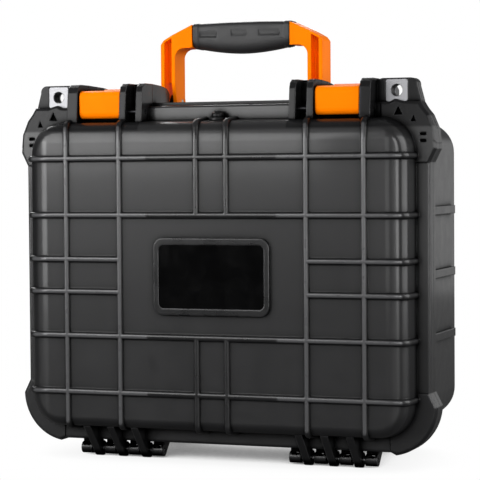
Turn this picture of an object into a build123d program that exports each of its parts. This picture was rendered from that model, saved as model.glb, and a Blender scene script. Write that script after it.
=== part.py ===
from build123d import *
import os
from math import radians, tan

os.makedirs("parts", exist_ok=True)

# Hard protective case standing on its hinge side, handle up.
# Millimetres. X is the width, -Y is the lid side, +Z is up.
# The pieces are drawn about the parting plane and moved on export, so that the
# origin lies on the floor, in the middle of the width and of the depth.

# Overall sizes
flange_width = 394.0
flange_height = 312.0
flange_radius = 40.0
floor_clearance = 16.0
flange_overhang = 12.0
body_width = flange_width - 2 * flange_overhang
body_height = flange_height - 2 * flange_overhang - 1
body_radius = 32.0
lid_depth = 38.0
base_depth = 150.0
wall = 4.0
seam = 0.1
flange_round = 2.5
lid_draft = 5.0
base_draft = 1.5
flange_thickness = 10.0
bumper_step = 6.0
bumper_drop = 3.0
bumper_length = 54.0
bumper_reach = 37.0
pad_height = 3.0
middle = floor_clearance + flange_height / 2
flange_top = floor_clearance + flange_height
wall_top = middle + body_height / 2
wall_low = middle - body_height / 2

# Lid grid, label and valve
rib_width = 5.6
rib_height = 2.5
rib_outer_to_latch = 28.5
rib_inner_to_latch = 25.1
rib_centre_x = 14.6
rib_outer_z = flange_height / 2 - 48.0
rib_mid_z = rib_outer_z - 52.3
rib_label_z = 15.0
label_width = 101.6
label_height = 57.6
label_rim = 5.2
label_thickness = 1.2
valve_y = -17.0
valve_bore = 6.0
valve_cap_radius = 5.6

# Latches
latch_to_ear = 50.0
latch_width = 41.5
latch_gap = 0.75
cheek_inner = 22.5
cheek_rib = 6.0
cheek_outer = 10.0
cheek_top = flange_top + 21.0
latch_pin_y = -16.6
latch_pin_z = 323.0
latch_pin_radius = 2.0
latch_reach = 36.0
latch_top = flange_top + 15.0
latch_plate = 6.0
running_fit = 0.05
latch_hub = 6.0
latch_skirt = 4.0
hook_width = 26.0
hook_thickness = 2.0
hook_tooth_y = 11.5

# Handle
handle_to_latch = 34.7
handle_arm_width = 14.5
handle_arm_depth = 25.0
handle_arm_flange = 3.5
handle_web = 3.0
handle_lug_gap = 0.5
handle_y = 55.5
handle_pin_y = handle_y + 6.5
handle_pin_z = 334.0
handle_eye_radius = 7.0
handle_fork_top = 352.0
handle_pin_radius = 3.0
handle_top = flange_top + 81.0
shoulder_length = 31.8
grip_height = 25.0
grip_depth = 24.0
grip_belly = 6.8

# Hinges and padlock ears
hinge_z = 7.0
hinge_pin_radius = 2.0
hinge_pitch = 24.0
hinge_first_x = 80.0
lid_fin_width = 7.0
base_fin_width = 11.0
base_eye_radius = 5.5
ear_width = 37.0
ear_inset = 31.5
ear_x = flange_width / 2 - ear_inset
ear_rise = 21.0
ear_outline = ((18.5, 14), (22.0, 1), (22.0, -20), (-10.0, -20), (-10.0, 14))
corner_outline = ((-15, 0), (22.3, 0), (26.0, -6), (30.8, -12), (36.3, -25), (37.4, -37), (4.5, -37), (-15, -20))
padlock_radius = 5.3
padlock_z = flange_top + 10.0
plate_size = 20.0
plate_thickness = 1.8
lid_ear_thickness = 5.0
base_ear_thickness = 9.5
plate_seat = 1.5

# Places that follow the flange: latches beside the ears, handle between the latches
latch_x = ear_x - latch_to_ear
rib_outer_x = latch_x + rib_outer_to_latch
rib_inner_x = latch_x - rib_inner_to_latch
handle_half_width = latch_x - handle_to_latch
grip_length = 2 * (handle_half_width - shoulder_length)

# Feet, side ribs and lying pads of the base
foot_x = hinge_first_x + hinge_pitch
foot_y = base_depth - 26.0
foot_length = 76.0
foot_depth = 20.0
side_rib_length = base_depth - 34.0
side_rib_pitch = 58.0
pad_size = 34.0
pad_x = body_width / 2 - 45.0
pad_z = body_height / 2 - 43.5

# Foams and seal
foam_gap = 0.4
pad_foam = 10.0
block_foam_start = 3.0
block_foam_end = base_depth - pad_height - wall - pad_foam - 0.8
pocket_wall = 54.0
pocket_width = body_width - 2 * pocket_wall - 12
pocket_height = body_height - 2 * pocket_wall - 9
pocket_floor = 44.2
pocket_depth = block_foam_end - pocket_floor - block_foam_start
lid_foam_start = 4.0
seal_gap = 0.3

# Move that brings the middle of the depth onto the origin
to_origin = Location((0, (lid_depth - base_depth) / 2, 0))

# Drawing planes: the front one looks out of the lid, the back one out of the base
front = Plane(origin=(0, 0, middle), x_dir=(1, 0, 0), z_dir=(0, -1, 0))
back = Plane(origin=(0, 0, middle), x_dir=(1, 0, 0), z_dir=(0, 1, 0))

# Hollow of the lid and hollow of the base
with BuildPart() as lid_hollow:
    with BuildSketch(front.offset(-1)):
        RectangleRounded(body_width - 2 * wall, body_height - 2 * wall, body_radius - wall)
    extrude(amount=lid_depth - rib_height - wall + 1, taper=lid_draft)
    fillet(lid_hollow.faces().sort_by(Axis.Y)[0].edges(), 6.0)

with BuildPart() as base_hollow:
    with BuildSketch(back.offset(-1)):
        RectangleRounded(body_width - 2 * wall, body_height - 2 * wall, body_radius - wall)
    extrude(amount=base_depth - pad_height - wall + 1, taper=base_draft)
    fillet(base_hollow.faces().sort_by(Axis.Y)[-1].edges(), 9.0)

# Flange rims with their corner bumpers, rounded on the outside
with BuildPart() as lid_flange:
    with BuildSketch(front.offset(seam)):
        RectangleRounded(flange_width, flange_height, flange_radius)
    extrude(amount=flange_thickness - seam)
    fillet(lid_flange.faces().sort_by(Axis.Y)[0].edges(), flange_round)

with BuildPart() as lid_bumpers:
    with BuildSketch(front.offset(seam)):
        RectangleRounded(
            flange_width + 2 * bumper_step,
            flange_height + 2 * bumper_drop,
            flange_radius + bumper_step,
        )
        # the bumpers run out at a slant along both edges of the flange
        side_end = flange_height / 2 - bumper_length
        top_end = flange_width / 2 - bumper_reach
        with BuildLine():
            Polyline(
                (flange_width / 2, side_end),
                (flange_width / 2 + 20, side_end + 40),
                (flange_width / 2 + 20, -side_end - 40),
                (flange_width / 2, -side_end),
                (-flange_width / 2, -side_end),
                (-flange_width / 2 - 20, -side_end - 40),
                (-flange_width / 2 - 20, side_end + 40),
                (-flange_width / 2, side_end),
                close=True,
            )
        make_face(mode=Mode.SUBTRACT)
        with BuildLine():
            Polyline(
                (top_end, flange_height / 2),
                (top_end + 30, flange_height / 2 + 15),
                (-top_end - 30, flange_height / 2 + 15),
                (-top_end, flange_height / 2),
                (-top_end, -flange_height / 2),
                (-top_end - 30, -flange_height / 2 - 15),
                (top_end + 30, -flange_height / 2 - 15),
                (top_end, -flange_height / 2),
                close=True,
            )
        make_face(mode=Mode.SUBTRACT)
        for side in (-1, 1):
            with BuildLine():
                Polyline([(side * (ear_x + out), flange_height / 2 + up) for out, up in corner_outline], close=True)
            make_face()
    extrude(amount=flange_thickness + 1)
    outer_edges = [
        edge
        for edge in lid_bumpers.faces().sort_by(Axis.Y)[0:4].edges()
        if abs(abs(edge.center().Z - middle) - side_end) > 0.5 and abs(abs(edge.center().X) - top_end) > 0.5
    ]
    chamfer(outer_edges, flange_round)

# Raised grid of the lid, cut from a skin one rib height larger than the lid
with BuildPart() as rib_grid:
    with BuildSketch(front.offset(seam)):
        RectangleRounded(body_width + 2 * rib_height, body_height + 2 * rib_height, body_radius)
    extrude(amount=lid_depth - seam, taper=lid_draft)
    fillet(rib_grid.faces().sort_by(Axis.Y)[0].edges(), 8.0)
    with BuildSketch(front.offset(flange_thickness - 1)):
        for side in (-1, 1):
            with Locations((side * rib_outer_x, 0), (side * rib_inner_x, 0)):
                Rectangle(rib_width, body_height + 10)
            with Locations((0, side * rib_outer_z), (0, side * rib_mid_z)):
                Rectangle(body_width + 10, rib_width)
            for level in (-1, 1):
                with Locations((side * rib_centre_x, level * (rib_mid_z + 50))):
                    Rectangle(rib_width, 100)
                with Locations((side * (rib_inner_x + 50), level * rib_label_z)):
                    Rectangle(100, rib_width)
    extrude(amount=lid_depth + 5, mode=Mode.INTERSECT)
    # edges between the outer skin and the flanks of the beads, rounded along their length
    flank_faces = [
        face
        for face in rib_grid.faces().filter_by(GeomType.PLANE)
        if max(abs(face.normal_at().X), abs(face.normal_at().Z), face.normal_at().Y) > 0.9999
    ]
    skin_faces = [face for face in rib_grid.faces() if face not in flank_faces]
    flank_edges = ShapeList([edge for face in flank_faces for edge in face.edges()])
    skin_edges = ShapeList([edge for face in skin_faces for edge in face.edges()])
    bead_edges = [
        edge
        for edge in rib_grid.edges()
        if edge in flank_edges and edge in skin_edges and edge.center().Y < -flange_thickness + 0.99
    ]
    fillet(bead_edges, rib_height - 0.1)

# Lid: moulded shell with flange, corner bumpers, grid, latch cheeks and hinge fins
with BuildPart() as lid_shell:
    with BuildSketch(front.offset(seam)):
        RectangleRounded(body_width, body_height, body_radius)
    extrude(amount=lid_depth - rib_height - seam, taper=lid_draft)
    fillet(lid_shell.faces().sort_by(Axis.Y)[0].edges(), 9.0)
    add(rib_grid.part)
    # raised rim round the label
    with BuildSketch(front.offset(lid_depth - rib_height - 0.5)):
        RectangleRounded(label_width + 2 * label_rim, label_height + 2 * label_rim + 2, 9)
    extrude(amount=rib_height + 0.5)
    with BuildSketch(front.offset(lid_depth - label_thickness - 0.3)):
        RectangleRounded(label_width + 0.2, label_height + 0.2, 5)
    extrude(amount=5, mode=Mode.SUBTRACT)
    # flange with the four corner bumpers
    add(lid_flange.part)
    add(lid_bumpers.part)
    # padlock ears
    for side in (-1, 1):
        with BuildSketch(front.offset(seam)):
            with Locations((side * ear_x, flange_height / 2 - 8)):
                RectangleRounded(ear_width, 2 * ear_rise + 16, 6)
            with BuildLine():
                Polyline([(side * (ear_x + out), flange_height / 2 + up) for out, up in ear_outline], close=True)
            make_face()
        extrude(amount=lid_ear_thickness - seam)
    # latch cheeks standing on the top wall: two ribs on the handle's side, one by the ear
    for side in (-1, 1):
        for start, thick in (
            (latch_x - latch_width / 2 - latch_gap, -cheek_rib),
            (latch_x - latch_width / 2 - latch_gap - cheek_inner, cheek_rib),
            (latch_x + latch_width / 2 + latch_gap, cheek_outer),
        ):
            with BuildSketch(Plane.YZ.offset(side * start)):
                with BuildLine():
                    Polyline(
                        (-27, wall_top - 8),
                        (-26.5, wall_top + 3),
                        (-24, cheek_top - 8),
                        (-22, cheek_top - 3),
                        (-17, cheek_top),
                        (-seam, cheek_top),
                        (-seam, wall_top - 8),
                        close=True,
                    )
                make_face()
            extrude(amount=side * thick)
        # back wall of the hollow between the two ribs
        hollow_x = latch_x - latch_width / 2 - latch_gap - cheek_inner / 2
        with BuildSketch(Plane.YZ.offset(side * hollow_x - cheek_inner / 2 + 1)):
            with Locations((-seam - 2.5, (wall_top - 8 + cheek_top - 2) / 2)):
                Rectangle(5, cheek_top - 2 - wall_top + 8)
        extrude(amount=cheek_inner - 2)
    # hinge fins on the lower wall, three a side
    for side in (-1, 1):
        for index in range(3):
            at = side * (hinge_first_x + index * hinge_pitch) - lid_fin_width / 2
            with BuildSketch(Plane.YZ.offset(at)):
                with Locations((0, hinge_z)):
                    Circle(hinge_z)
                with BuildLine():
                    Polyline(
                        (-30, wall_low + 6),
                        (-30, wall_low + 2),
                        (-5.6, hinge_z - 4.2),
                        (-seam, hinge_z),
                        (-seam, wall_low + 6),
                        close=True,
                    )
                make_face()
            extrude(amount=lid_fin_width)
    # round seat for the pressure valve
    with Locations((0, valve_y, wall_top - 2)):
        Cylinder(8.0, 5)
    # hollow inside
    add(lid_hollow.part, mode=Mode.SUBTRACT)
    # seal groove in the parting face
    with BuildSketch(front.offset(seam)):
        RectangleRounded(body_width + 14, body_height + 14, body_radius + 7)
        RectangleRounded(body_width + 2, body_height + 2, body_radius + 1, mode=Mode.SUBTRACT)
    extrude(amount=5, mode=Mode.SUBTRACT)
    # bores for the latch pins
    for side in (-1, 1):
        with Locations(
            Location((side * (latch_x + (cheek_outer - cheek_inner) / 2), latch_pin_y, latch_pin_z), (0, 90, 0)),
        ):
            Cylinder(latch_pin_radius + running_fit, latch_width + cheek_inner + cheek_outer + 6, mode=Mode.SUBTRACT)
    # bores for the hinge pins
    for side in (-1, 1):
        with Locations(Location((side * (hinge_first_x + hinge_pitch), 0, hinge_z), (0, 90, 0))):
            Cylinder(hinge_pin_radius + running_fit, 90, mode=Mode.SUBTRACT)
    # padlock holes with a shallow seat for the steel plates
    for side in (-1, 1):
        with Locations(Location((side * ear_x, -5, padlock_z), (90, 0, 0))):
            Cylinder(padlock_radius + 0.7, 20, mode=Mode.SUBTRACT)
        with Locations((side * ear_x, -lid_ear_thickness, padlock_z)):
            Box(plate_size + 0.1, 2 * plate_seat, plate_size + 0.1, mode=Mode.SUBTRACT)
    # moulding pockets in the corners below the ears
    for side in (-1, 1):
        with BuildSketch(front.offset(flange_thickness - 2.5)):
            with BuildLine():
                Polyline(
                    (side * (ear_x - 1.0), flange_height / 2 - 12),
                    (side * (ear_x + 7.0), flange_height / 2 - 12),
                    (side * (ear_x + 3.0), flange_height / 2 - 4),
                    close=True,
                )
            make_face()
            with BuildLine():
                Polyline(
                    (side * (ear_x + 14.0), flange_height / 2 - 18),
                    (side * (ear_x + 19.0), flange_height / 2 - 18),
                    (side * (ear_x + 17.0), flange_height / 2 - 12),
                    close=True,
                )
            make_face()
            with Locations(
                (side * (ear_x + 25.5), flange_height / 2 - 29), (side * (ear_x + 25.5), flange_height / 2 - 35)
            ):
                RectangleRounded(6.0, 2.6, 1.0)
        extrude(amount=6, mode=Mode.SUBTRACT)
    # hole for the pressure valve in the top wall
    with Locations((0, valve_y, wall_top - 6)):
        Cylinder(valve_bore / 2 + running_fit, 30, mode=Mode.SUBTRACT)
lid_shell.part.label = "lid_shell"
export_step(lid_shell.part.moved(to_origin), "parts/lid_shell.step")

# Base: deep moulded shell with flange, ears, latch cheeks, handle bosses, hinge and feet
with BuildPart() as base_shell:
    with BuildSketch(back.offset(seam)):
        RectangleRounded(body_width, body_height, body_radius)
    extrude(amount=base_depth - pad_height - seam, taper=base_draft)
    fillet(base_shell.faces().sort_by(Axis.Y)[-1].edges(), 12.0)
    # flange with the four corner bumpers, the lid's rims mirrored
    add(lid_flange.part.mirror(Plane.XZ))
    add(lid_bumpers.part.mirror(Plane.XZ))
    # padlock ears
    for side in (-1, 1):
        with BuildSketch(back.offset(seam)):
            with Locations((side * ear_x, 8 - flange_height / 2)):
                RectangleRounded(ear_width, 2 * ear_rise + 16, 6)
            with BuildLine():
                Polyline([(side * (ear_x + out), -flange_height / 2 - up) for out, up in ear_outline], close=True)
            make_face()
        extrude(amount=base_ear_thickness - seam)
    # latch cheeks standing on the top wall
    for side in (-1, 1):
        for start, thick, reach in (
            (latch_x - latch_width / 2 - latch_gap, -cheek_inner, handle_y - handle_arm_depth / 2 - 1.5),
            (latch_x + latch_width / 2 + latch_gap, cheek_outer, handle_y + 13.0),
        ):
            with BuildSketch(Plane.YZ.offset(side * start)):
                with BuildLine():
                    Polyline(
                        (seam, wall_top - 8),
                        (seam, cheek_top),
                        (reach * 0.5, cheek_top - 1),
                        (reach * 0.85, cheek_top - 3),
                        (reach, cheek_top - 8),
                        (reach, wall_top - 8),
                        close=True,
                    )
                make_face()
            extrude(amount=side * thick)
    # low lip of the flange between the latches
    with Locations((0, (flange_thickness + seam) / 2, flange_top - 2 + 2.75)):
        Box(2 * (latch_x - latch_width / 2 - cheek_inner) + 2, flange_thickness - seam - 1, 5.5)
    # lug inside the fork of each handle arm
    for side in (-1, 1):
        lug_half = handle_arm_width / 2 - handle_arm_flange - handle_lug_gap
        with BuildSketch(Plane.YZ.offset(side * (handle_half_width - handle_arm_width / 2) - lug_half)):
            with Locations((handle_pin_y, handle_pin_z)):
                Circle(handle_eye_radius)
            with BuildLine():
                Polyline(
                    (handle_pin_y - 16, wall_top - 8),
                    (handle_pin_y - 14, wall_top),
                    (handle_pin_y - handle_eye_radius * 0.8, handle_pin_z + handle_eye_radius * 0.6),
                    (handle_pin_y + handle_eye_radius * 0.8, handle_pin_z + handle_eye_radius * 0.6),
                    (handle_pin_y + 14, wall_top),
                    (handle_pin_y + 16, wall_top - 8),
                    close=True,
                )
            make_face()
        extrude(amount=2 * lug_half)
    # hinge fins, four a side, between and beside those of the lid
    for side in (-1, 1):
        for index in range(4):
            at = side * (hinge_first_x + (index - 0.5) * hinge_pitch) - base_fin_width / 2
            with BuildSketch(Plane.YZ.offset(at)):
                with Locations((0, hinge_z)):
                    Circle(base_eye_radius)
                with BuildLine():
                    Polyline(
                        (seam, wall_low + 6),
                        (30, wall_low + 6),
                        (30, wall_low + 2),
                        (base_eye_radius * 0.8, hinge_z - base_eye_radius * 0.6),
                        (seam, hinge_z),
                        close=True,
                    )
                make_face()
            extrude(amount=base_fin_width)
            # narrow window through the web above the pin
            with Locations((at + base_fin_width / 2, 4, hinge_z + 3.5)):
                Box(base_fin_width - 4.5, 30, 2.2, mode=Mode.SUBTRACT)
    # standing feet at the back of the hinge side
    for side in (-1, 1):
        with BuildSketch(Plane.XY):
            with Locations((side * foot_x, foot_y)):
                RectangleRounded(foot_length, foot_depth, 6)
        extrude(amount=wall_low + 8)
    # stiffening ribs along both side walls
    for side in (-1, 1):
        with Locations(
            (side * (body_width / 2 - 4), side_rib_length / 2 + 6, middle - side_rib_pitch),
            (side * (body_width / 2 - 4), side_rib_length / 2 + 6, middle),
            (side * (body_width / 2 - 4), side_rib_length / 2 + 6, middle + side_rib_pitch),
        ):
            Box(10.0, side_rib_length, rib_width + 2)
    # pads that the case lies on when it is opened flat
    with BuildSketch(back.offset(base_depth - pad_height - 2)):
        for side in (-1, 1):
            for level in (-1, 1):
                with Locations((side * pad_x, level * pad_z)):
                    RectangleRounded(pad_size, pad_size, 8)
    extrude(amount=pad_height + 2)
    # hollow inside
    add(base_hollow.part, mode=Mode.SUBTRACT)
    # bores for the hinge pins
    for side in (-1, 1):
        with Locations(Location((side * (hinge_first_x + hinge_pitch), 0, hinge_z), (0, 90, 0))):
            Cylinder(hinge_pin_radius + running_fit, 120, mode=Mode.SUBTRACT)
    # bores for the handle pins
    for side in (-1, 1):
        with Locations(
            Location(
                (side * (handle_half_width - handle_arm_width / 2), handle_pin_y, handle_pin_z),
                (0, 90, 0),
            )
        ):
            Cylinder(handle_pin_radius + running_fit, handle_arm_width, mode=Mode.SUBTRACT)
    # padlock holes with a shallow seat for the steel plates
    for side in (-1, 1):
        with Locations(Location((side * ear_x, 5, padlock_z), (90, 0, 0))):
            Cylinder(padlock_radius + 0.7, 20, mode=Mode.SUBTRACT)
        with Locations((side * ear_x, base_ear_thickness, padlock_z)):
            Box(plate_size + 0.1, 2 * plate_seat, plate_size + 0.1, mode=Mode.SUBTRACT)
base_shell.part.label = "base_shell"
export_step(base_shell.part.moved(to_origin), "parts/base_shell.step")

# Rubber seal lying in the groove of the lid's flange
with BuildPart() as lid_seal:
    with BuildSketch(front.offset(seam + seal_gap)):
        RectangleRounded(
            body_width + 14 - 2 * seal_gap, body_height + 14 - 2 * seal_gap, body_radius + 7 - seal_gap
        )
        RectangleRounded(
            body_width + 2 + 2 * seal_gap,
            body_height + 2 + 2 * seal_gap,
            body_radius + 1 + seal_gap,
            mode=Mode.SUBTRACT,
        )
    extrude(amount=5 - 2 * seal_gap)
lid_seal.part.label = "lid_seal"
export_step(lid_seal.part.moved(to_origin), "parts/lid_seal.step")

# Bare glossy label plate inside the rim
with BuildPart() as label_plate:
    with BuildSketch(front.offset(lid_depth - label_thickness - 0.28)):
        RectangleRounded(label_width, label_height, 4.9)
    extrude(amount=label_thickness)
label_plate.part.label = "label_plate"
export_step(label_plate.part.moved(to_origin), "parts/label_plate.step")

# Latch lever: front block round the pin, top plate, skirts and a lip to pull
lever_y = latch_pin_y
lever_z = latch_pin_z
with BuildPart() as latch_lever_right:
    with BuildSketch(Plane.YZ.offset(latch_x - latch_width / 2)):
        with Locations((lever_y, lever_z)):
            Circle(latch_hub)
        with BuildLine():
            Polyline(
                (lever_y - latch_hub, lever_z),
                (lever_y - latch_hub, latch_top - 5),
                (lever_y - latch_hub + 1.6, latch_top - 1.6),
                (lever_y - latch_hub + 5, latch_top),
                (latch_reach - 10, latch_top),
                (latch_reach - 2, latch_top + 3.5),
                (latch_reach, latch_top + 2.5),
                (latch_reach - 3, latch_top - 3.5),
                (latch_reach - 9, latch_top - latch_plate),
                (lever_y + latch_hub + 4, latch_top - latch_plate),
                (lever_y + latch_hub - 0.2, lever_z + 5),
                (lever_y + latch_hub, lever_z),
                close=True,
            )
        make_face()
    extrude(amount=latch_width)
    nose_edges = [
        edge
        for edge in latch_lever_right.edges().filter_by(Axis.X)
        if edge.center().Z > latch_top - 8 and edge.center().Y < lever_y
    ]
    fillet(nose_edges, 1.2)
    for start, thick in ((-latch_width / 2, latch_skirt), (latch_width / 2, -latch_skirt)):
        with BuildSketch(Plane.YZ.offset(latch_x + start)):
            with BuildLine():
                Polyline(
                    (lever_y + latch_hub - 0.4, lever_z + 3),
                    (lever_y + latch_hub - 0.4, latch_top - 2),
                    (latch_reach - 6, latch_top - 1),
                    (latch_reach - 8, latch_top - 9),
                    (latch_reach - 16, flange_top + 1),
                    (lever_y + latch_hub - 0.1, flange_top + 1),
                    close=True,
                )
            make_face()
        extrude(amount=thick)
    chamfer(
        [
            edge
            for face in (
                latch_lever_right.faces().sort_by(Axis.X)[0],
                latch_lever_right.faces().sort_by(Axis.X)[-1],
            )
            for edge in face.edges()
        ],
        0.8,
    )
    with Locations(Location((latch_x, lever_y, lever_z), (0, 90, 0))):
        Cylinder(latch_pin_radius + running_fit, latch_width + 4, mode=Mode.SUBTRACT)
latch_lever_right.part.label = "latch_lever_right"
export_step(latch_lever_right.part.moved(to_origin), "parts/latch_lever_right.step")

with BuildPart() as latch_lever_left:
    add(latch_lever_right.part.mirror(Plane.YZ))
latch_lever_left.part.label = "latch_lever_left"
export_step(latch_lever_left.part.moved(to_origin), "parts/latch_lever_left.step")

# Bent steel hook plate set under the lever, its tooth behind the base flange
with BuildPart() as latch_hook_right:
    with BuildSketch(Plane.YZ.offset(latch_x - hook_width / 2)):
        with BuildLine():
            Polyline(
                (-6.0, latch_top - latch_plate - running_fit),
                (hook_tooth_y + hook_thickness, latch_top - latch_plate - running_fit),
                (hook_tooth_y + hook_thickness, flange_top + 0.7),
                (hook_tooth_y, flange_top + 0.7),
                (hook_tooth_y, latch_top - latch_plate - running_fit - hook_thickness),
                (-6.0, latch_top - latch_plate - running_fit - hook_thickness),
                close=True,
            )
        make_face()
    extrude(amount=hook_width)
latch_hook_right.part.label = "latch_hook_right"
export_step(latch_hook_right.part.moved(to_origin), "parts/latch_hook_right.step")

with BuildPart() as latch_hook_left:
    add(latch_hook_right.part.mirror(Plane.YZ))
latch_hook_left.part.label = "latch_hook_left"
export_step(latch_hook_left.part.moved(to_origin), "parts/latch_hook_left.step")

# Steel pins through the latch cheeks
latch_pin_length = latch_width + 2 * latch_gap + cheek_inner + cheek_outer - 1.0
with BuildPart() as latch_pin_right:
    with Locations(Location((latch_x + (cheek_outer - cheek_inner) / 2, lever_y, lever_z), (0, 90, 0))):
        Cylinder(latch_pin_radius, latch_pin_length)
    chamfer(latch_pin_right.edges().filter_by(GeomType.CIRCLE), 0.4)
latch_pin_right.part.label = "latch_pin_right"
export_step(latch_pin_right.part.moved(to_origin), "parts/latch_pin_right.step")

with BuildPart() as latch_pin_left:
    add(latch_pin_right.part.mirror(Plane.YZ))
latch_pin_left.part.label = "latch_pin_left"
export_step(latch_pin_left.part.moved(to_origin), "parts/latch_pin_left.step")

# Handle frame: two forked arms of H section, sloping shoulders and a core bar in the grip
arm_inner = handle_half_width - handle_arm_width
core_low = handle_top - 19.5
core_high = handle_top - 6.0
grip_half = grip_length / 2
arm_channel = handle_arm_width - 2 * handle_arm_flange
with BuildPart() as handle_frame:
    with BuildSketch(Plane.XZ.offset(-(handle_y + handle_arm_depth / 2))):
        with BuildLine():
            Polyline(
                (-handle_half_width, handle_pin_z - 4),
                (-handle_half_width, handle_top - 21),
                (-handle_half_width + 3, handle_top - 17),
                (-handle_half_width + 12, handle_top - 12),
                (-grip_half, handle_top - 3),
                (-grip_half, core_high),
                (grip_half, core_high),
                (grip_half, handle_top - 3),
                (handle_half_width - 12, handle_top - 12),
                (handle_half_width - 3, handle_top - 17),
                (handle_half_width, handle_top - 21),
                (handle_half_width, handle_pin_z - 4),
                (arm_inner, handle_pin_z - 4),
                (arm_inner, handle_top - 25),
                (grip_half, handle_top - 24.5),
                (grip_half, core_low),
                (-grip_half, core_low),
                (-grip_half, handle_top - 24.5),
                (-arm_inner, handle_top - 25),
                (-arm_inner, handle_pin_z - 4),
                close=True,
            )
        make_face()
    extrude(amount=handle_arm_depth)
    inner_corners = [
        edge
        for edge in handle_frame.edges().filter_by(Axis.Y)
        if abs(abs(edge.center().X) - arm_inner) < 0.5 and edge.center().Z > handle_pin_z + 5
    ]
    fillet(inner_corners, 9.0)
    outer_corners = [
        edge
        for edge in handle_frame.edges().filter_by(Axis.Y)
        if abs(edge.center().X) > arm_inner + 5 and edge.center().Z > handle_top - 30
    ]
    fillet(outer_corners, 3.0)
    # front and back of the core bar drawn in, so that the grip wraps it
    for face in (-1, 1):
        with Locations((0, handle_y + face * handle_arm_depth / 2, (core_low + core_high) / 2)):
            Box(grip_length, 9.0, core_high - core_low + 2, mode=Mode.SUBTRACT)
    for side in (-1, 1):
        arm_x = side * (handle_half_width + arm_inner) / 2
        # lower front corner of the arm, cut back towards the pin
        with BuildSketch(Plane.YZ.offset(arm_x - handle_arm_width)):
            with BuildLine():
                Polyline(
                    (handle_y - handle_arm_depth / 2 - 1, handle_pin_z + 17),
                    (handle_y - handle_arm_depth / 2, handle_pin_z + 17),
                    (handle_y - handle_arm_depth / 2 + 4.5, handle_pin_z - 2),
                    (handle_y - handle_arm_depth / 2 + 7, handle_pin_z - 5),
                    (handle_y - handle_arm_depth / 2 - 1, handle_pin_z - 5),
                    close=True,
                )
            make_face()
        extrude(amount=2 * handle_arm_width, mode=Mode.SUBTRACT)
        with Locations(Location((arm_x, handle_pin_y, handle_pin_z), (0, 90, 0))):
            Cylinder(handle_eye_radius, handle_arm_width)
            Cylinder(handle_pin_radius + running_fit, handle_arm_width + 4, mode=Mode.SUBTRACT)
        # fork round the lug, open from front to back
        with Locations((arm_x, handle_y, (handle_pin_z - 20 + handle_fork_top) / 2)):
            Box(arm_channel, 60, handle_fork_top - handle_pin_z + 20, mode=Mode.SUBTRACT)
        # channels in front of the web and behind it, closed below the sloping shoulder
        for face in (-1, 1):
            edge_y = handle_y + face * (handle_arm_depth / 2 + 1)
            deep = (handle_arm_depth - handle_web) / 2 + 1
            with BuildSketch(Plane.XZ.offset(-edge_y)):
                with BuildLine():
                    Polyline(
                        (arm_x - side * arm_channel / 2, handle_fork_top - 1),
                        (arm_x - side * arm_channel / 2, handle_top - 15),
                        (arm_x + side * arm_channel / 2, handle_top - 19),
                        (arm_x + side * arm_channel / 2, handle_fork_top - 1),
                        close=True,
                    )
                make_face()
            extrude(amount=face * deep, mode=Mode.SUBTRACT)
handle_frame.part.label = "handle_frame"
export_step(handle_frame.part.moved(to_origin), "parts/handle_frame.step")

# Soft grip round the core bar, fuller below for the fingers
with BuildPart() as handle_grip:
    with BuildSketch(Plane.XZ.offset(-(handle_y + grip_depth / 2))):
        with BuildLine():
            Polyline(
                (-grip_half + 0.2, handle_top - grip_height),
                (-grip_half + 0.2, handle_top),
                (grip_half - 0.2, handle_top),
                (grip_half - 0.2, handle_top - grip_height),
            )
            ThreePointArc(
                (grip_half - 0.2, handle_top - grip_height),
                (0, handle_top - grip_height - grip_belly),
                (-grip_half + 0.2, handle_top - grip_height),
            )
        make_face()
    extrude(amount=grip_depth)
    fillet(handle_grip.edges().filter_by(Axis.X), 5.0)
    with Locations((0, handle_y, (core_low + core_high) / 2)):
        Box(
            grip_length + 4,
            handle_arm_depth - 9.0 + 2 * running_fit,
            core_high - core_low + 2 * running_fit,
            mode=Mode.SUBTRACT,
        )
handle_grip.part.label = "handle_grip"
export_step(handle_grip.part.moved(to_origin), "parts/handle_grip.step")

# Steel pins of the handle
handle_pin_length = handle_arm_width - 0.6
with BuildPart() as handle_pin_right:
    with Locations(Location((handle_half_width - handle_arm_width / 2, handle_pin_y, handle_pin_z), (0, 90, 0))):
        Cylinder(handle_pin_radius, handle_pin_length)
    chamfer(handle_pin_right.edges().filter_by(GeomType.CIRCLE), 0.5)
handle_pin_right.part.label = "handle_pin_right"
export_step(handle_pin_right.part.moved(to_origin), "parts/handle_pin_right.step")

with BuildPart() as handle_pin_left:
    add(handle_pin_right.part.mirror(Plane.YZ))
handle_pin_left.part.label = "handle_pin_left"
export_step(handle_pin_left.part.moved(to_origin), "parts/handle_pin_left.step")

# Steel hinge pins, one through each group of fins
hinge_pin_length = 3 * hinge_pitch + base_fin_width - 1.0
with BuildPart() as hinge_pin_right:
    with Locations(Location((hinge_first_x + hinge_pitch, 0, hinge_z), (0, 90, 0))):
        Cylinder(hinge_pin_radius, hinge_pin_length)
    chamfer(hinge_pin_right.edges().filter_by(GeomType.CIRCLE), 0.4)
hinge_pin_right.part.label = "hinge_pin_right"
export_step(hinge_pin_right.part.moved(to_origin), "parts/hinge_pin_right.step")

with BuildPart() as hinge_pin_left:
    add(hinge_pin_right.part.mirror(Plane.YZ))
hinge_pin_left.part.label = "hinge_pin_left"
export_step(hinge_pin_left.part.moved(to_origin), "parts/hinge_pin_left.step")

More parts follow.
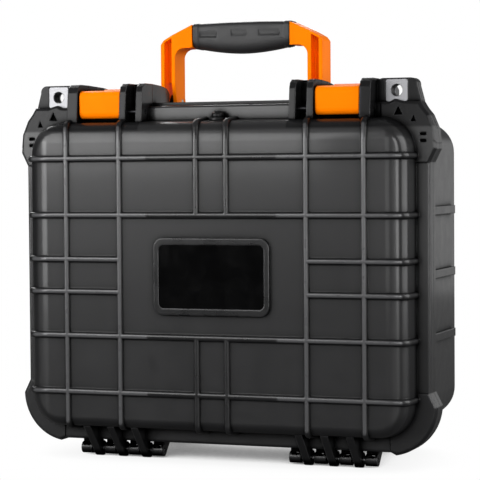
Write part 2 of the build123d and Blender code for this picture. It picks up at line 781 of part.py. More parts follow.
# Stainless plates that line the padlock holes, on the lid's ears and on the base's
lid_plate_y = -(lid_ear_thickness - plate_seat + plate_thickness / 2 + 0.02)
base_plate_y = base_ear_thickness - plate_seat + plate_thickness / 2 + 0.02
with BuildPart() as lid_ear_plate_right:
    with Locations((ear_x, lid_plate_y, padlock_z)):
        Box(plate_size, plate_thickness, plate_size)
    fillet(lid_ear_plate_right.edges().filter_by(Axis.Y), 2.0)
    with Locations(Location((ear_x, lid_plate_y, padlock_z), (90, 0, 0))):
        Cylinder(padlock_radius, 10, mode=Mode.SUBTRACT)
    chamfer(lid_ear_plate_right.faces().sort_by(Axis.Y)[0].edges(), 0.3)
lid_ear_plate_right.part.label = "lid_ear_plate_right"
export_step(lid_ear_plate_right.part.moved(to_origin), "parts/lid_ear_plate_right.step")

with BuildPart() as lid_ear_plate_left:
    add(lid_ear_plate_right.part.mirror(Plane.YZ))
lid_ear_plate_left.part.label = "lid_ear_plate_left"
export_step(lid_ear_plate_left.part.moved(to_origin), "parts/lid_ear_plate_left.step")

with BuildPart() as base_ear_plate_right:
    with Locations((ear_x, base_plate_y, padlock_z)):
        Box(plate_size, plate_thickness, plate_size)
    fillet(base_ear_plate_right.edges().filter_by(Axis.Y), 2.0)
    with Locations(Location((ear_x, base_plate_y, padlock_z), (90, 0, 0))):
        Cylinder(padlock_radius, 10, mode=Mode.SUBTRACT)
    chamfer(base_ear_plate_right.faces().sort_by(Axis.Y)[-1].edges(), 0.3)
base_ear_plate_right.part.label = "base_ear_plate_right"
export_step(base_ear_plate_right.part.moved(to_origin), "parts/base_ear_plate_right.step")

with BuildPart() as base_ear_plate_left:
    add(base_ear_plate_right.part.mirror(Plane.YZ))
base_ear_plate_left.part.label = "base_ear_plate_left"
export_step(base_ear_plate_left.part.moved(to_origin), "parts/base_ear_plate_left.step")

# Pressure valve in the lid's top wall: domed body with stem, washer and nut
valve_seat_z = wall_top + 0.5
with BuildPart() as valve_body:
    with Locations((0, valve_y, valve_seat_z + 1.2 + 2.0)):
        Cylinder(valve_cap_radius, 4.0)
    fillet(valve_body.faces().sort_by(Axis.Z)[-1].edges(), 2.4)
    with Locations((0, valve_y, valve_seat_z + 1.2 + 4.0 + 0.6)):
        Cylinder(valve_cap_radius - 2.6, 1.2)
    with Locations((0, valve_y, valve_seat_z - 5.0)):
        Cylinder(valve_bore / 2, 14.0)
valve_body.part.label = "valve_body"
export_step(valve_body.part.moved(to_origin), "parts/valve_body.step")

with BuildPart() as valve_washer:
    with Locations((0, valve_y, valve_seat_z + 0.6)):
        Cylinder(valve_cap_radius - 0.3, 1.1)
        Cylinder(valve_bore / 2 + running_fit, 3, mode=Mode.SUBTRACT)
valve_washer.part.label = "valve_washer"
export_step(valve_washer.part.moved(to_origin), "parts/valve_washer.step")

with BuildPart() as valve_nut:
    with BuildSketch(Plane.XY.offset(wall_top - 10.8)):
        with Locations((0, valve_y)):
            RegularPolygon(6.0, 6)
            Circle(valve_bore / 2 + running_fit, mode=Mode.SUBTRACT)
    extrude(amount=4.0)
valve_nut.part.label = "valve_nut"
export_step(valve_nut.part.moved(to_origin), "parts/valve_nut.step")

# Foams: pad on the floor of the base, layer under the pocket, layer with the pocket, lid foam
draft_at_pad = 2 * (block_foam_end + 1) * tan(radians(base_draft))
under_foam_start = block_foam_start + pocket_depth + 0.2
draft_at_under = 2 * under_foam_start * tan(radians(base_draft))
under_foam_width = body_width - 2 * wall - draft_at_under - 2 * foam_gap - 0.2
under_foam_height = body_height - 2 * wall - draft_at_under - 2 * foam_gap - 0.2
draft_at_lid = 2 * lid_foam_start * tan(radians(lid_draft))
pad_foam_width = body_width - 2 * wall - draft_at_pad - 1.4
pad_foam_height = body_height - 2 * wall - draft_at_pad - 1.4
lid_foam_width = body_width - 2 * wall - draft_at_lid - 0.9
lid_foam_height = body_height - 2 * wall - draft_at_lid - 0.9
with BuildPart() as base_pad_foam:
    with BuildSketch(back.offset(block_foam_end + 0.3)):
        RectangleRounded(pad_foam_width, pad_foam_height, 24)
    extrude(amount=pad_foam, taper=base_draft)
    fillet(base_pad_foam.faces().sort_by(Axis.Y)[-1].edges(), pad_foam - 0.6)
base_pad_foam.part.label = "base_pad_foam"
export_step(base_pad_foam.part.moved(to_origin), "parts/base_pad_foam.step")

with BuildPart() as base_under_foam:
    with BuildSketch(back.offset(under_foam_start)):
        RectangleRounded(under_foam_width, under_foam_height, 25)
    extrude(amount=block_foam_end - under_foam_start, taper=base_draft)
base_under_foam.part.label = "base_under_foam"
export_step(base_under_foam.part.moved(to_origin), "parts/base_under_foam.step")

with BuildPart() as base_pocket_foam:
    with BuildSketch(back.offset(block_foam_start)):
        RectangleRounded(
            body_width - 2 * wall - 2 * foam_gap - 0.2, body_height - 2 * wall - 2 * foam_gap - 0.2, 27
        )
    extrude(amount=pocket_depth, taper=base_draft)
    with BuildSketch(back.offset(block_foam_start - 1)):
        RectangleRounded(pocket_width, pocket_height, 14)
    extrude(amount=pocket_depth + 2, mode=Mode.SUBTRACT)
base_pocket_foam.part.label = "base_pocket_foam"
export_step(base_pocket_foam.part.moved(to_origin), "parts/base_pocket_foam.step")

with BuildPart() as lid_foam:
    with BuildSketch(front.offset(lid_foam_start)):
        RectangleRounded(lid_foam_width, lid_foam_height, 27)
    extrude(amount=lid_depth - rib_height - wall - lid_foam_start - foam_gap, taper=lid_draft)
    fillet(lid_foam.faces().sort_by(Axis.Y)[0].edges(), 6.5)
    with Locations((0, valve_y, wall_top - 6)):
        Box(26, 60, 20, mode=Mode.SUBTRACT)
lid_foam.part.label = "lid_foam"
export_step(lid_foam.part.moved(to_origin), "parts/lid_foam.step")
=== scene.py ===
import bmesh
import bpy
from math import copysign, cos, pi, radians, sin
from mathutils import Matrix, Vector


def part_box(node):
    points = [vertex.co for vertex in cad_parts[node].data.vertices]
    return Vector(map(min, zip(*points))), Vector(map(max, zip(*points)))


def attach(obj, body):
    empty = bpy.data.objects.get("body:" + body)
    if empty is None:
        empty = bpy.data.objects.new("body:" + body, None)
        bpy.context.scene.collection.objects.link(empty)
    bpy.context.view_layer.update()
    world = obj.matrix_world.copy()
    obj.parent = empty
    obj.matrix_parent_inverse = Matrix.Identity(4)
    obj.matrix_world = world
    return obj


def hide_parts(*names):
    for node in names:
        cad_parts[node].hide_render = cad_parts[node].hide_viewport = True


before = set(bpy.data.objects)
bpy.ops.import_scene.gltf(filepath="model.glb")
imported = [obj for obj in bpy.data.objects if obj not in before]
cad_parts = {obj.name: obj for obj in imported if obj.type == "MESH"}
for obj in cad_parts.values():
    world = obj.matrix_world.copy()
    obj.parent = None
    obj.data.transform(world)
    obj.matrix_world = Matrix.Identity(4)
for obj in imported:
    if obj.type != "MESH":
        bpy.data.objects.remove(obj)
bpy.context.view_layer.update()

# Base shell: the deep half of the case, injection moulded in one piece of black
# polypropylene. Its fine spark texture rubs smoother on the edges, painted paler there partly as wear and
# partly as a painted highlight; hinge eyes, latch cheeks, ears and the handle's lugs are moulded with it.
shell_black = (0.0080, 0.0080, 0.0085, 1)
# paler colour for edges (wear and painted highlight) and for the lid's bead crowns (painted highlight)
shell_wear_and_highlight = (0.075, 0.075, 0.078, 1)
shell_rough = (0.36, 0.44)
shell_sheen = 0.38
grain_height = 0.00012
# crowns of the lid's beads, smoother and with a painted highlight, and label rim, and the rim's reach to
# each side of the middle
bead_crown = (-0.0935, -0.0939)
label_rim = (0.0620, 0.0640)
# the lid's face, and where it begins and ends to fall away to its sides and its top
lid_face = (-0.074, -0.078)
side_fall = (0.163, 0.187)
top_fall = (0.294, 0.318)
# cheeks and ears stand above the walls, outside the handle, and in front of the base's top
cheek_foot = (0.3045, 0.3065)
cheek_side = (0.0705, 0.0725)
cheek_back = (-0.034, -0.037)


def join(tree, out, into):
    tree.links.new(out, into)


def add_node(tree, kind, **values):
    made = tree.nodes.new("ShaderNode" + kind)
    for name, value in values.items():
        made.inputs[name.replace("_", " ")].default_value = value
    return made


def remap(tree, source, low, high, to_low, to_high):
    made = add_node(tree, "MapRange", From_Min=low, From_Max=high, To_Min=to_low, To_Max=to_high)
    join(tree, source, made.inputs["Value"])
    return made.outputs["Result"]


def reckon(tree, operation, *terms):
    """Math on the terms, which are numbers or the outputs of nodes."""
    made = tree.nodes.new("ShaderNodeMath")
    made.operation = operation
    for socket, term in zip(made.inputs, terms):
        if isinstance(term, (int, float)):
            socket.default_value = term
        else:
            join(tree, term, socket)
    return made.outputs["Value"]


def two_tone(tree, share, first, second):
    """The first colour, turning into the second as share goes from 0 to 1."""
    made = tree.nodes.new("ShaderNodeMix")
    made.data_type = "RGBA"
    for socket, colour in ((made.inputs["A"], first), (made.inputs["B"], second)):
        if isinstance(colour, tuple):
            socket.default_value = colour
        else:
            join(tree, colour, socket)
    join(tree, share, made.inputs["Factor"])
    return made.outputs["Result"]


def shaded(colour, times):
    return (colour[0] * times, colour[1] * times, colour[2] * times, 1)


def moulded(name, black, wear_and_highlight, rough, edge_round, grain_depth, sheen=0.0, gloss=0.31, border=0.0):
    """Black moulded plastic or rubber: mottled, grained, painted paler on its edges as wear and painted
    highlight, with painted shade in its corners.
    """
    skin = bpy.data.materials.new(name)
    skin.use_nodes = True
    tree = skin.node_tree
    plastic = tree.nodes["Principled BSDF"]
    place = add_node(tree, "TexCoord").outputs["Object"]
    cloud = add_node(tree, "TexNoise", Scale=9, Detail=6, Roughness=0.55)
    flow = add_node(tree, "TexNoise", Scale=55, Detail=4, Distortion=0.7)
    spark = add_node(tree, "TexNoise", Scale=1400, Detail=3, Roughness=0.65)
    for texture in (cloud, flow, spark):
        join(tree, place, texture.inputs["Vector"])
    # edges: where a rounded normal leaves the true one, the skin is painted paler, partly as handling wear
    # and partly as a painted highlight
    soft = add_node(tree, "Bevel", Radius=edge_round)
    soft.samples = 6
    true = add_node(tree, "NewGeometry")
    apart = tree.nodes.new("ShaderNodeVectorMath")
    apart.operation = "DOT_PRODUCT"
    join(tree, soft.outputs["Normal"], apart.inputs[0])
    join(tree, true.outputs["Normal"], apart.inputs[1])
    edge = remap(tree, apart.outputs["Value"], 0.99, 0.75, 0, 1)
    edge_wear_and_highlight = reckon(tree, "MULTIPLY", edge, remap(tree, flow.outputs["Fac"], 0.35, 0.7, 0, 1))
    spot = tree.nodes.new("ShaderNodeSeparateXYZ")
    join(tree, place, spot.inputs["Vector"])
    aside = reckon(tree, "ABSOLUTE", spot.outputs["X"])
    # painted highlight: the crowns of the lid's beads stand proud and are painted paler, the label's rim is
    # not
    crown = remap(tree, spot.outputs["Y"], *bead_crown, 0, 1)
    crown_highlight = reckon(tree, "MULTIPLY", crown, remap(tree, aside, *label_rim, 0.0, 0.7))
    wear_and_highlight_share = reckon(tree, "MAXIMUM", edge_wear_and_highlight, crown_highlight)
    mottle_share = remap(tree, cloud.outputs["Fac"], 0.35, 0.65, 0, 1)
    mottle = two_tone(tree, mottle_share, shaded(black, 0.82), shaded(black, 1.2))
    # edges and bead crowns painted paler: partly wear, partly painted highlight
    tint = two_tone(tree, wear_and_highlight_share, mottle, wear_and_highlight)
    # painted shade: colour, coat and specular are darkened in corners and grooves by how closed-in they are
    hollow = add_node(tree, "AmbientOcclusion", Distance=0.008)
    hollow.samples = 8
    painted_corner_shade = remap(tree, hollow.outputs["AO"], 0.50, 0.96, 0.03, 1)
    tint_in_painted_shade = tree.nodes.new("ShaderNodeVectorMath")
    tint_in_painted_shade.operation = "SCALE"
    join(tree, tint, tint_in_painted_shade.inputs[0])
    join(tree, painted_corner_shade, tint_in_painted_shade.inputs["Scale"])
    join(tree, tint_in_painted_shade.outputs["Vector"], plastic.inputs["Base Color"])
    # smoother than the sparked faces: rubbed edges, the crowns of the lid's beads and,
    # polished in the mould, the cheeks and ears above the walls
    above = remap(tree, spot.outputs["Z"], *cheek_foot, 0, 1)
    outside = remap(tree, aside, *cheek_side, 0, 1)
    ahead = remap(tree, spot.outputs["Y"], *cheek_back, 0, 1)
    polished = reckon(tree, "MULTIPLY", reckon(tree, "MULTIPLY", above, outside), ahead)
    roughness = remap(tree, flow.outputs["Fac"], 0.3, 0.7, *rough)
    for zone, drop in ((edge, -0.16), (crown, -0.11), (polished, -0.15)):
        roughness = reckon(tree, "MULTIPLY_ADD", zone, drop, roughness)
    join(tree, roughness, plastic.inputs["Roughness"])
    # a thin gloss over the grain, from the polish of the mould, taken down in corners and grooves by the
    # painted shade
    thin = reckon(tree, "MULTIPLY", remap(tree, polished, 0, 1, sheen, 0.55 * sheen), painted_corner_shade)
    join(tree, thin, plastic.inputs["Coat Weight"])
    plastic.inputs["Coat Roughness"].default_value = 0.13
    # specular is taken down in corners and grooves by the painted shade too
    mirror = reckon(tree, "MULTIPLY", remap(tree, polished, 0, 1, gloss, 0.20 * gloss), painted_corner_shade)
    join(tree, mirror, plastic.inputs["Specular IOR Level"])
    facing = soft.outputs["Normal"]
    if border:
        # the lid's face falls away gently towards its sides and its top
        falls = []
        for reach, (start, end) in ((aside, side_fall), (spot.outputs["Z"], top_fall)):
            fall = add_node(tree, "MapRange", From_Min=start, From_Max=end, To_Min=1, To_Max=0)
            fall.interpolation_type = "SMOOTHSTEP"
            join(tree, reach, fall.inputs["Value"])
            falls.append(fall.outputs["Result"])
        bend = add_node(tree, "Bump", Strength=1.0, Distance=border)
        join(tree, reckon(tree, "ADD", *falls), bend.inputs["Height"])
        join(tree, facing, bend.inputs["Normal"])
        front_only = tree.nodes.new("ShaderNodeMix")
        front_only.data_type = "VECTOR"
        join(tree, remap(tree, spot.outputs["Y"], *lid_face, 0, 1), front_only.inputs["Factor"])
        join(tree, facing, front_only.inputs["A"])
        join(tree, bend.outputs["Normal"], front_only.inputs["B"])
        facing = front_only.outputs["Result"]
    join(tree, facing, plastic.inputs["Coat Normal"])
    grain = add_node(tree, "Bump", Strength=0.35, Distance=grain_depth)
    join(tree, spark.outputs["Fac"], grain.inputs["Height"])
    join(tree, facing, grain.inputs["Normal"])
    join(tree, grain.outputs["Normal"], plastic.inputs["Normal"])
    return skin


def coat_node(name, skin):
    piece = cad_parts[name]
    piece.data.materials.clear()
    piece.data.materials.append(skin)
    return piece


shell_skin = moulded(
    "shell_polypropylene", shell_black, shell_wear_and_highlight, shell_rough, 0.0014, grain_height, shell_sheen
)
coat_node("base_shell", shell_skin)

# Base foams: charcoal polyurethane foam, knife cut. A pad lies on the floor of the
# base, a plain layer on it, and on top the layer scored into cubes, with the pocket
# plucked out of it.
foam_grey = (0.022, 0.022, 0.024, 1)
cube_pitch = (0.0125, 0.17 / 14)
cube_start = (0.125, 0.087)
score_width = 0.0009
score_depth = 0.0060
cutter_margin = 0.004
cut_allowance = 0.00005


def cut_foam(name, grey):
    skin = bpy.data.materials.new(name)
    skin.use_nodes = True
    tree = skin.node_tree
    sponge = tree.nodes["Principled BSDF"]
    place = add_node(tree, "TexCoord").outputs["Object"]
    cells = add_node(tree, "TexVoronoi", Scale=900)
    tone = add_node(tree, "TexNoise", Scale=40, Detail=5)
    join(tree, place, cells.inputs["Vector"])
    join(tree, place, tone.inputs["Vector"])
    mixed = two_tone(tree, tone.outputs["Fac"], shaded(grey, 0.6), shaded(grey, 1.5))
    join(tree, mixed, sponge.inputs["Base Color"])
    join(tree, remap(tree, tone.outputs["Fac"], 0.3, 0.7, 0.88, 0.98), sponge.inputs["Roughness"])
    sponge.inputs["Specular IOR Level"].default_value = 0.2
    pores = add_node(tree, "Bump", Strength=0.7, Distance=0.0006)
    join(tree, cells.outputs["Distance"], pores.inputs["Height"])
    join(tree, pores.outputs["Normal"], sponge.inputs["Normal"])
    return skin


foam_skin = cut_foam("cut_foam", foam_grey)


def height_block(name, xs, zs, back, top):
    """A closed block over the grid xs, zs, from the plane y = back to y = top(x, z)."""
    mesh = bpy.data.meshes.new(name)
    block = bmesh.new()
    crest = [[block.verts.new((x, top(x, z), z)) for z in zs] for x in xs]
    foot = [[block.verts.new((x, back, z)) for z in zs] for x in xs]
    last_x, last_z = len(xs) - 1, len(zs) - 1
    for i in range(last_x):
        for j in range(last_z):
            block.faces.new((crest[i][j], crest[i][j + 1], crest[i + 1][j + 1], crest[i + 1][j]))
            block.faces.new((foot[i][j], foot[i + 1][j], foot[i + 1][j + 1], foot[i][j + 1]))
    for i in range(last_x):
        for j in (0, last_z):
            block.faces.new((crest[i][j], crest[i + 1][j], foot[i + 1][j], foot[i][j]))
    for j in range(last_z):
        for i in (0, last_x):
            block.faces.new((crest[i][j], foot[i][j], foot[i][j + 1], crest[i][j + 1]))
    bmesh.ops.recalc_face_normals(block, faces=block.faces)
    block.to_mesh(mesh)
    block.free()
    made = bpy.data.objects.new(name, mesh)
    bpy.context.scene.collection.objects.link(made)
    return made


def foam_piece(name, node, body, cutter=None, soften=0.0012):
    """A copy of the foam's solid, cut to the cutter's surface, that takes the solid's place."""
    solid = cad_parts[node]
    made = bpy.data.objects.new(name, solid.data.copy())
    made.matrix_world = solid.matrix_world.copy()
    bpy.context.scene.collection.objects.link(made)
    if cutter:
        trim = made.modifiers.new("trim", "BOOLEAN")
        trim.operation = "INTERSECT"
        trim.solver = "EXACT"
        trim.object = cutter
    else:
        rim = made.modifiers.new("rim", "BEVEL")
        rim.width = soften
        rim.segments = 2
        rim.angle_limit = radians(40)
    bpy.context.view_layer.update()
    shaped = bpy.data.meshes.new_from_object(made.evaluated_get(bpy.context.evaluated_depsgraph_get()))
    made.modifiers.clear()
    made.data = shaped
    made.data.materials.clear()
    made.data.materials.append(foam_skin)
    if cutter:
        bpy.data.objects.remove(cutter)
    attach(made, body)
    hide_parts(node)
    return made


def scored_lines(low, high, start, pitch):
    """Grid lines from low to high with a narrow score at start and every pitch from it."""
    half = score_width / 2
    lines = {low, high}
    count = int((high - low) / pitch) + 2
    for step in range(-count, count + 1):
        middle = start + step * pitch
        for offset in (-half, -half * 0.2, half * 0.2, half):
            if low + 0.002 < middle + offset < high - 0.002:
                lines.add(middle + offset)
    return sorted(lines)


foam_piece("base_pad", "base_pad_foam", "base")
foam_piece("base_under_layer", "base_under_foam", "base")
cube_low, cube_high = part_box("base_pocket_foam")
cube_xs, cube_zs = (
    scored_lines(cube_low[way] - cutter_margin, cube_high[way] + cutter_margin, start, pitch)
    for way, start, pitch in zip((0, 2), cube_start, cube_pitch)
)


def cube_top(x, z):
    deep = 0
    for at, start, pitch in zip((x, z), cube_start, cube_pitch):
        off = abs((at - start + pitch / 2) % pitch - pitch / 2)
        if off < score_width * 0.3:
            deep = score_depth
    return cube_low[1] + cut_allowance + deep


foam_piece(
    "base_cube_layer", "base_pocket_foam", "base",
    height_block("cube_cutter", cube_xs, cube_zs, cube_high[1] + cutter_margin, cube_top),
)

# Lid shell: the shallow half, moulded like the base, with a grid of rounded beads
# that stiffen its face and wrap over its sides.
lid_skin = moulded(
    "lid_polypropylene", shell_black, shell_wear_and_highlight, shell_rough, 0.0018, grain_height, shell_sheen,
    border=0.0052,
)
coat_node("lid_shell", lid_skin)

# Lid seal: a square ring of black silicone rubber pressed into the groove round the
# lid's rim.
seal_black = (0.006, 0.006, 0.0064, 1)
# paler colour for its edges, partly wear and partly a painted highlight
seal_wear_and_highlight = (0.014, 0.014, 0.0147, 1)
seal_skin = moulded("seal_rubber", seal_black, seal_wear_and_highlight, (0.6, 0.7), 0.0006, 0.0001)
coat_node("lid_seal", seal_skin)

# Hinge pins: stainless rod, cut to length and chamfered, one for each pair of hinge
# blocks. Each is pressed through the eyes of both shells.
steel_light = (0.60, 0.60, 0.61, 1)
steel_dark = (0.42, 0.42, 0.43, 1)
turned_rod = (60, 1500, 1500)


def brushed(name, light, dark, stretch, rough):
    skin = bpy.data.materials.new(name)
    skin.use_nodes = True
    tree = skin.node_tree
    steel = tree.nodes["Principled BSDF"]
    steel.inputs["Metallic"].default_value = 1.0
    turn = add_node(tree, "Mapping", Scale=stretch)
    join(tree, add_node(tree, "TexCoord").outputs["Object"], turn.inputs["Vector"])
    brush = add_node(tree, "TexNoise", Scale=1.0, Detail=4)
    join(tree, turn.outputs["Vector"], brush.inputs["Vector"])
    join(tree, two_tone(tree, brush.outputs["Fac"], dark, light), steel.inputs["Base Color"])
    join(tree, remap(tree, brush.outputs["Fac"], 0, 1, rough, rough + 0.14), steel.inputs["Roughness"])
    soft = add_node(tree, "Bevel", Radius=0.0004)
    lines = add_node(tree, "Bump", Strength=0.12, Distance=0.0001)
    join(tree, brush.outputs["Fac"], lines.inputs["Height"])
    join(tree, soft.outputs["Normal"], lines.inputs["Normal"])
    join(tree, lines.outputs["Normal"], steel.inputs["Normal"])
    return skin


pin_steel = brushed("pin_steel", steel_light, steel_dark, turned_rod, 0.22)
coat_node("hinge_pin_left", pin_steel)
coat_node("hinge_pin_right", pin_steel)

# Label plate: a thin glossy plate of black acrylic, glued inside the rim in the
# middle of the lid. It is bare.
label_black = (0.0006, 0.0006, 0.0007, 1)
label_dusty = (0.0014, 0.0014, 0.0015, 1)
label_skin = bpy.data.materials.new("label_acrylic")
label_skin.use_nodes = True
label_tree = label_skin.node_tree
acrylic = label_tree.nodes["Principled BSDF"]
wipe = add_node(label_tree, "TexNoise", Scale=60, Detail=6, Distortion=0.6)
join(label_tree, add_node(label_tree, "TexCoord").outputs["Object"], wipe.inputs["Vector"])
join(label_tree, remap(label_tree, wipe.outputs["Fac"], 0.35, 0.75, 0.10, 0.17), acrylic.inputs["Roughness"])
dusted = two_tone(label_tree, wipe.outputs["Fac"], label_black, label_dusty)
join(label_tree, dusted, acrylic.inputs["Base Color"])
acrylic.inputs["Specular IOR Level"].default_value = 0.26
ripple = add_node(label_tree, "Bump", Strength=0.03, Distance=0.0002)
join(label_tree, wipe.outputs["Fac"], ripple.inputs["Height"])
join(label_tree, ripple.outputs["Normal"], acrylic.inputs["Normal"])
coat_node("label_plate", label_skin)

# Pressure valve: a domed polypropylene body screwed through the lid's top wall, with
# a rubber washer outside and a nut inside.
valve_black = (0.004, 0.004, 0.0043, 1)
# paler colour for its edges, partly wear and partly a painted highlight
valve_wear_and_highlight = (0.012, 0.012, 0.0125, 1)
valve_skin = moulded("valve_polypropylene", valve_black, valve_wear_and_highlight, (0.3, 0.4), 0.0004, 0.00008, gloss=0.2)
coat_node("valve_body", valve_skin)
coat_node("valve_washer", seal_skin)
coat_node("valve_nut", valve_skin)

# Lid foam: convoluted polyurethane foam, glued into the lid, its pyramids towards
# the load.
crate_pitch = 0.030
crate_wave = 0.0065
crate_cell = 0.003
crate_low, crate_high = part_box("lid_foam")


def steps(low, high, size):
    count = max(2, round((high - low) / size))
    return [low + (high - low) * index / count for index in range(count + 1)]


def crate_top(x, z):
    wave = cos(2 * pi * x / crate_pitch) * cos(2 * pi * z / crate_pitch)
    return crate_high[1] - cut_allowance - crate_wave * (1 - wave)


foam_piece(
    "lid_egg_crate", "lid_foam", "lid",
    height_block(
        "crate_cutter",
        steps(crate_low[0] - cutter_margin, crate_high[0] + cutter_margin, crate_cell),
        steps(crate_low[2] - cutter_margin, crate_high[2] + cutter_margin, crate_cell),
        crate_low[1] - cutter_margin,
        crate_top,
    ),
)

# Latches: levers of glass-filled nylon in safety orange over both ends of the front
# edge, each on a blackened steel pin in the lid's cheeks, with a bent steel hook beneath.
latch_bright = (0.96, 0.205, 0.0005, 1)
latch_deep = (0.92, 0.160, 0.0005, 1)


def orange_nylon(name, bright, deep):
    skin = bpy.data.materials.new(name)
    skin.use_nodes = True
    tree = skin.node_tree
    nylon = tree.nodes["Principled BSDF"]
    place = add_node(tree, "TexCoord").outputs["Object"]
    flow = add_node(tree, "TexNoise", Scale=30, Detail=6, Distortion=0.9)
    grain = add_node(tree, "TexNoise", Scale=1300, Detail=2)
    join(tree, place, flow.inputs["Vector"])
    join(tree, place, grain.inputs["Vector"])
    streaks = remap(tree, flow.outputs["Fac"], 0.4, 0.85, 0, 0.6)
    join(tree, two_tone(tree, streaks, bright, deep), nylon.inputs["Base Color"])
    join(tree, remap(tree, flow.outputs["Fac"], 0, 1, 0.38, 0.50), nylon.inputs["Roughness"])
    nylon.inputs["Specular IOR Level"].default_value = 0.07
    nylon.inputs["Specular Tint"].default_value = (1.0, 0.55, 0.12, 1)
    soft = add_node(tree, "Bevel", Radius=0.0012)
    soft.samples = 6
    skin_bump = add_node(tree, "Bump", Strength=0.15, Distance=0.0001)
    join(tree, grain.outputs["Fac"], skin_bump.inputs["Height"])
    join(tree, soft.outputs["Normal"], skin_bump.inputs["Normal"])
    join(tree, skin_bump.outputs["Normal"], nylon.inputs["Normal"])
    return skin


orange_skin = orange_nylon("orange_nylon", latch_bright, latch_deep)
blackened_light = (0.035, 0.035, 0.038, 1)
blackened_dark = (0.020, 0.020, 0.022, 1)
black_steel = brushed("blackened_steel", blackened_light, blackened_dark, turned_rod, 0.30)
for side in ("left", "right"):
    coat_node("latch_lever_" + side, orange_skin)
    coat_node("latch_pin_" + side, black_steel)
    coat_node("latch_hook_" + side, pin_steel)

# Ear plates: pressed stainless steel, brushed upright, that keep a padlock's shackle
# from cutting through the plastic ears.
plate_light = (0.30, 0.30, 0.31, 1)
plate_dark = (0.21, 0.21, 0.22, 1)
upright_brush = (900, 900, 40)
plate_steel = brushed("plate_steel", plate_light, plate_dark, upright_brush, 0.42)
for shell in ("lid", "base"):
    for side in ("left", "right"):
        coat_node(shell + "_ear_plate_" + side, plate_steel)

# Handle frame: two forked arms of H section, sloping shoulders and a core bar, in one
# moulding of the latches' orange nylon. The forks straddle the base's lugs and turn
# there on steel pins.
coat_node("handle_frame", orange_skin)
coat_node("handle_pin_left", pin_steel)
coat_node("handle_pin_right", pin_steel)

# Handle grip: soft black rubber moulded over the core bar, full below for the fingers,
# with a raised band at each end and three long grooves on the front and back.
grip_rings = 200
grip_points = 144
grip_low, grip_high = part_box("handle_grip")
grip_middle_y = (grip_low[1] + grip_high[1]) / 2
grip_middle_z = grip_high[2] - 0.0125
grip_half_width = 0.0119
# height above the middle line and its fall towards the ends; depth below it and its swell
grip_rise = (0.0117, 0.0009)
grip_belly = (0.0129, 0.0060)
# the higher, the squarer: above and below the middle line
grip_squareness = (5.5, 3.2)
core_middle_z = grip_high[2] - 0.01275
core_half = (0.00808, 0.00680)
band_length = 0.0052
band_flank = 0.0016
band_step = 0.00045
end_round = 0.0009
end_inset = 0.0006
groove_depth = 0.0011
groove_end = 0.0011
groove_half = 0.0012
groove_flank = 0.0008
# middle, half length and height of each groove, from the middle of the grip
grip_grooves = ((-0.0331, 0.0087, -0.0013), (-0.0018, 0.0076, -0.0002), (0.0281, 0.0104, -0.0007))


def ease(value):
    value = min(1, max(0, value))
    return value * value * (3 - 2 * value)


def grip_section(along, around):
    """Outer skin of the grip at a share of its length and a turn round it, as y and z offsets."""
    across = abs(2 * along - 1)
    x = (along - 0.5) * (grip_high[0] - grip_low[0])
    c, s = cos(around), sin(around)
    rise = grip_rise[0] - grip_rise[1] * across ** 2
    belly = grip_belly[0] + grip_belly[1] * (1 - across ** 1.8)
    power = 2 / grip_squareness[0] if s > 0 else 2 / grip_squareness[1]
    y = grip_half_width * copysign(abs(c) ** power, c)
    z = (rise if s > 0 else belly) * copysign(abs(s) ** power, s)
    # the skin between the end bands lies a little lower, and the ends are rounded over
    near = (1 - across) * (grip_high[0] - grip_low[0]) / 2
    inset = band_step * ease((near - band_length) / band_flank) + end_inset * (1 - ease(near / end_round))
    y -= copysign(inset, c)
    z -= copysign(inset, s)
    # long grooves on the front and back
    for middle, half, height in grip_grooves:
        lengthwise = ease((half - abs(x - middle)) / groove_end + 0.5)
        upright = ease((groove_half - abs(z - height)) / groove_flank + 0.5)
        y -= copysign(groove_depth * lengthwise * upright, c)
    return y, z


grip_mesh = bpy.data.meshes.new("rubber_grip")
sleeve = bmesh.new()
skins, bores = [], []
for ring in range(grip_rings + 1):
    share = ring / grip_rings
    x = grip_low[0] + share * (grip_high[0] - grip_low[0])
    outer, inner = [], []
    for step in range(grip_points):
        turn = 2 * pi * step / grip_points
        y, z = grip_section(share, turn)
        outer.append(sleeve.verts.new((x, grip_middle_y + y, grip_middle_z + z)))
        c, s = cos(turn), sin(turn)
        reach = min(core_half[0] / max(abs(c), 1e-6), core_half[1] / max(abs(s), 1e-6))
        inner.append(sleeve.verts.new((x, grip_middle_y + reach * c, core_middle_z + reach * s)))
    skins.append(outer)
    bores.append(inner)
for ring in range(grip_rings):
    skin, skin_on, bore, bore_on = skins[ring], skins[ring + 1], bores[ring], bores[ring + 1]
    for step in range(grip_points):
        after = (step + 1) % grip_points
        sleeve.faces.new((skin[step], skin[after], skin_on[after], skin_on[step]))
        sleeve.faces.new((bore[step], bore_on[step], bore_on[after], bore[after]))
for skin, bore in ((skins[0], bores[0]), (skins[-1], bores[-1])):
    for step in range(grip_points):
        after = (step + 1) % grip_points
        sleeve.faces.new((skin[step], bore[step], bore[after], skin[after]))
bmesh.ops.recalc_face_normals(sleeve, faces=sleeve.faces)
sleeve.to_mesh(grip_mesh)
sleeve.free()
for face in grip_mesh.polygons:
    face.use_smooth = True
grip_mesh.set_sharp_from_angle(angle=radians(50))
grip = bpy.data.objects.new("rubber_grip", grip_mesh)
bpy.context.scene.collection.objects.link(grip)
grip_black = (0.012, 0.012, 0.0127, 1)
# paler colour for its edges, partly wear and partly a painted highlight
grip_wear_and_highlight = (0.026, 0.026, 0.0275, 1)
grip_skin = moulded("grip_rubber", grip_black, grip_wear_and_highlight, (0.42, 0.55), 0.0008, 0.00015, gloss=0.40)
grip.data.materials.append(grip_skin)
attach(grip, "handle")
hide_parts("handle_grip")

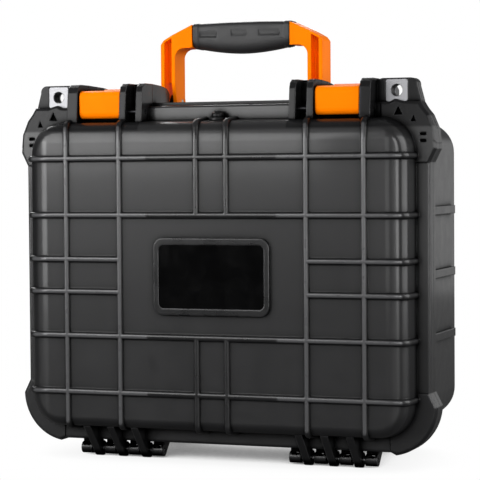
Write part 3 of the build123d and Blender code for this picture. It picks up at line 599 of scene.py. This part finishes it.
# Floor: a clear sheet on a white light table, as under a product photograph. The camera
# sees white through it, darkened where the case keeps the light off, and also a lid that
# swings past the table's edge; to the case the sheet is dull and throws little light back.
bpy.ops.mesh.primitive_plane_add(size=30, location=(0, 0, 0))
sheet = bpy.context.object
sheet.name = "studio_floor"
paper = bpy.data.materials.new("studio_sheet")
paper.use_nodes = True
tree = paper.node_tree
dull = add_node(tree, "BsdfDiffuse", Color=(0.10, 0.10, 0.10, 1))
shade = add_node(tree, "AmbientOcclusion", Distance=0.16)
shade.samples = 40
# a deep shade close to the case, and a faint one that reaches farther
close_shade = remap(tree, shade.outputs["AO"], 0.0, 0.16, 0.02, 1.0)
wide_shade = remap(tree, shade.outputs["AO"], 0.0, 0.60, 0.85, 1.0)
shadowed = add_node(tree, "BsdfTransparent")
join(tree, reckon(tree, "MULTIPLY", close_shade, wide_shade), shadowed.inputs["Color"])
clear_sheet = add_node(tree, "BsdfTransparent", Color=(1, 1, 1, 1))


def by_ray(tree, kind, usual, special):
    """The special shader for one kind of ray, such as Is Camera Ray, and the usual one for the rest."""
    made = tree.nodes.new("ShaderNodeMixShader")
    join(tree, add_node(tree, "LightPath").outputs[kind], made.inputs["Fac"])
    join(tree, usual, made.inputs[1])
    join(tree, special, made.inputs[2])
    return made.outputs["Shader"]


seen = by_ray(tree, "Is Camera Ray", dull.outputs["BSDF"], shadowed.outputs["BSDF"])
lit_through = by_ray(tree, "Is Shadow Ray", seen, clear_sheet.outputs["BSDF"])
join(tree, lit_through, tree.nodes["Material Output"].inputs["Surface"])
sheet.data.materials.append(paper)

# Studio: a white surround for the camera and a dim one for the case, a softbox close
# by on the left front, and soft cards farther off in front, on both sides and behind.
scene = bpy.context.scene
scene.view_settings.view_transform = "Standard"
case_middle = (-0.02, 0.0, 0.22)
world = bpy.data.worlds.new("studio")
scene.world = world
world.use_nodes = True
tree = world.node_tree
surround = tree.nodes["Background"]
compass = tree.nodes.new("ShaderNodeSeparateXYZ")
join(tree, add_node(tree, "TexCoord").outputs["Generated"], compass.inputs["Vector"])
join(tree, remap(tree, compass.outputs["Z"], 0.05, 0.6, 0.02, 0.30), surround.inputs["Strength"])
surround.inputs["Color"].default_value = (1, 1, 1, 1)
white = add_node(tree, "Background", Color=(1, 1, 1, 1), Strength=1.0)
around = by_ray(tree, "Is Camera Ray", surround.outputs["Background"], white.outputs["Background"])
join(tree, around, tree.nodes["World Output"].inputs["Surface"])


def soft_lamp(name, place, aim, size, watts):
    lamp = bpy.data.lights.new(name, "AREA")
    lamp.shape = "RECTANGLE"
    lamp.size, lamp.size_y = size
    lamp.energy = watts
    holder = bpy.data.objects.new(name, lamp)
    scene.collection.objects.link(holder)
    holder.location = place
    holder.rotation_euler = (Vector(aim) - Vector(place)).to_track_quat("-Z", "Y").to_euler()
    return holder


soft_lamp("key_softbox", (-0.46, -0.75, 0.50), (-0.04, 0.0, 0.23), (0.70, 0.47), 5.9)
soft_lamp("left_window", (-1.71, -1.69, 0.40), case_middle, (0.8, 0.8), 14)
soft_lamp("front_card", (-0.06, -2.40, 0.40), case_middle, (0.8, 0.8), 5)
soft_lamp("right_window", (1.28, -2.02, 0.40), case_middle, (0.85, 1.0), 22)
soft_lamp("right_wall", (2.0, 0.15, 0.70), case_middle, (1.8, 1.6), 34)
soft_lamp("rear_left_card", (-1.1, 1.8, 1.5), case_middle, (1.6, 1.4), 46)
soft_lamp("rear_card", (1.0, 2.17, 0.25), case_middle, (1.2, 1.2), 2.8)

# Camera: a long lens a little to the right of the case, at the height of its upper
# third, turned as the photograph was taken.
photo_px = 480
lens_px = 1919.0
film_mm = 36
stand = Vector((0.6326, -1.7029, 0.2680))
right_axis = Vector((0.9363, 0.35113, -0.00754))
look_axis = Vector((-0.35117, 0.93561, -0.03622))
up_axis = Vector((-0.00567, 0.03656, 0.99932))
camera = bpy.data.objects.new("camera", bpy.data.cameras.new("camera"))
scene.collection.objects.link(camera)
camera.data.sensor_width = film_mm
camera.data.lens = lens_px / photo_px * film_mm
pointing = Matrix((right_axis, up_axis, -look_axis)).transposed().to_4x4()
camera.matrix_world = Matrix.Translation(stand) @ pointing
scene.camera = camera
